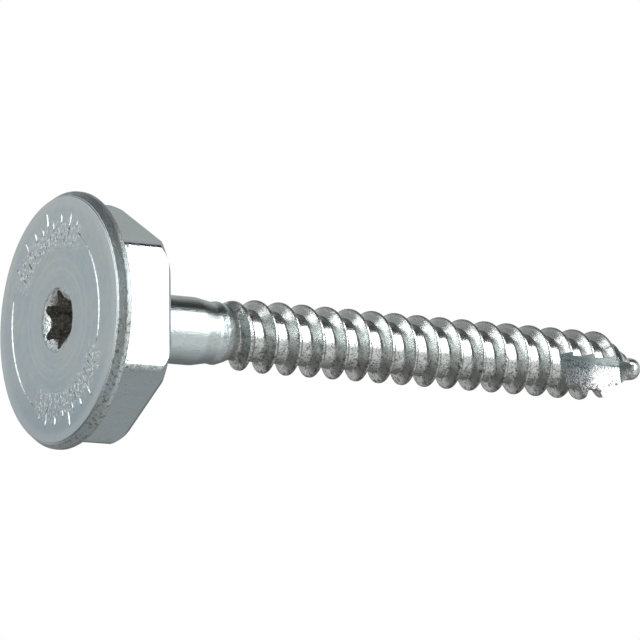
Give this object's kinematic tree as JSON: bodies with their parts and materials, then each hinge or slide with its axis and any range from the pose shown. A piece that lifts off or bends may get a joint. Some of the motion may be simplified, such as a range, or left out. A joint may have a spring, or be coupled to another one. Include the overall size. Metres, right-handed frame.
{
  "type": "leveling screw",
  "caption": "Leveling screw: round flanged head with a hexagon behind it and a star recess in its face, plain neck, coarse wood thread, notched tip",
  "frame": {"origin": "centre of the flat face of the head, which it stands on", "axes": "+Z along the shank towards the tip, +X through a corner of the hexagon"},
  "size_m": [0.0292, 0.0292, 0.08],
  "materials": {
    "zinc": "bright zinc-plated, satin"
  },
  "bodies": {
    "root": {"leveling_screw": "zinc"}
  },
  "joints": []
}
